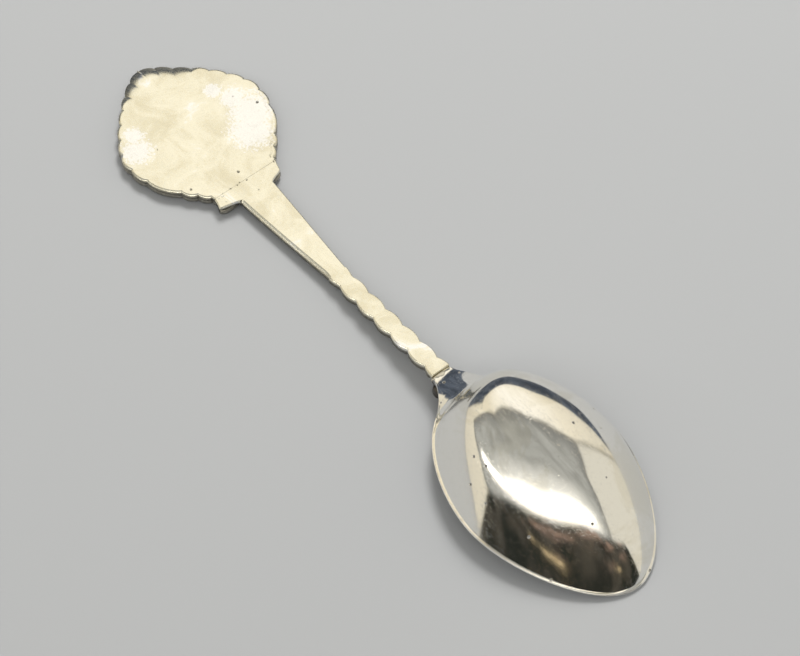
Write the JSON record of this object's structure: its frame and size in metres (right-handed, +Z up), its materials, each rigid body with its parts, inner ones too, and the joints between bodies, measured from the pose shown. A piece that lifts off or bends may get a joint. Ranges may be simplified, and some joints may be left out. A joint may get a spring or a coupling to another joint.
{
  "type": "souvenir spoon",
  "caption": "Small silver souvenir spoon lying on its front: pointed egg-shaped bowl, rope-scalloped stem and a scalloped picture-frame finial with a plain back plate.",
  "frame": {"origin": "middle of the spoon's length on the surface it rests on, under the stem's axis", "axes": "+X from the finial to the bowl's tip, +Z up from the resting surface towards the back of the spoon, +Y across"},
  "size_m": [0.119, 0.0274, 0.0143],
  "materials": {
    "polished_silver": "polished, lightly scratched",
    "satin_silver": "satin, lightly tarnished",
    "solder_silver": "dull"
  },
  "bodies": {
    "root": {"bowl": "polished_silver", "stem": "satin_silver", "neck_solder": "solder_silver", "neck_leaf": "satin_silver", "finial_frame": "satin_silver", "finial_back_plate": "satin_silver", "finial_medallion": "satin_silver"}
  },
  "joints": []
}
